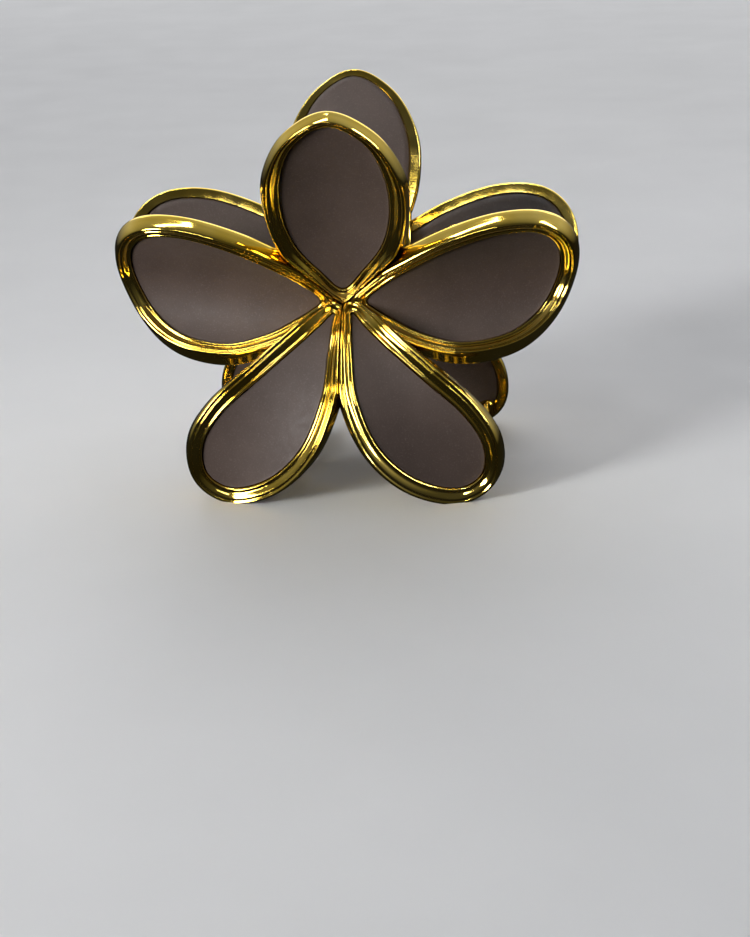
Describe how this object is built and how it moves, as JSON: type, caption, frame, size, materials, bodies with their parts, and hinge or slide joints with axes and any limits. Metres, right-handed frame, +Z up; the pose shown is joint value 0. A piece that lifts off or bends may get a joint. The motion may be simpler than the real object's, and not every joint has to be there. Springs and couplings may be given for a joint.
{
  "type": "hair claw clip",
  "caption": "Sprung claw clip for hair: two back-to-back flower halves with recessed matte petals in moulded metallic rims.",
  "frame": {"origin": "on the surface the clip stands on, below the middle of the hinge, at the centre of the clip's box", "axes": "+Z up, +X along the hinge pin across the flower, -Y towards the front half"},
  "size_m": [0.0816, 0.05, 0.068],
  "materials": {
    "gold_plate": "polished",
    "petal_matte": "matte",
    "spring_steel": "satin",
    "pin_steel": "satin"
  },
  "bodies": {
    "front_half": {"front_frame": "gold_plate", "front_petal_top": "petal_matte", "front_petal_right": "petal_matte", "front_petal_left": "petal_matte", "front_petal_lower_right": "petal_matte", "front_petal_lower_left": "petal_matte", "front_comb_left": "gold_plate", "front_comb_right": "gold_plate", "spring_leg_front": "spring_steel", "spring_coil": "spring_steel", "hinge_pin": "pin_steel"},
    "rear_half": {"rear_frame": "gold_plate", "rear_petal_top": "petal_matte", "rear_petal_right": "petal_matte", "rear_petal_left": "petal_matte", "rear_petal_lower_right": "petal_matte", "rear_petal_lower_left": "petal_matte", "rear_comb_left": "gold_plate", "rear_comb_right": "gold_plate", "spring_leg_rear": "spring_steel"}
  },
  "joints": [
    {"name": "jaw_hinge", "type": "hinge", "parent": "front_half", "child": "rear_half", "pos_m": [0, 0, 0.036], "axis": [1, 0, 0], "range_deg": [0, 50], "stiffness_Nm_per_rad": 0.25, "springref_deg": -34.38}
  ]
}
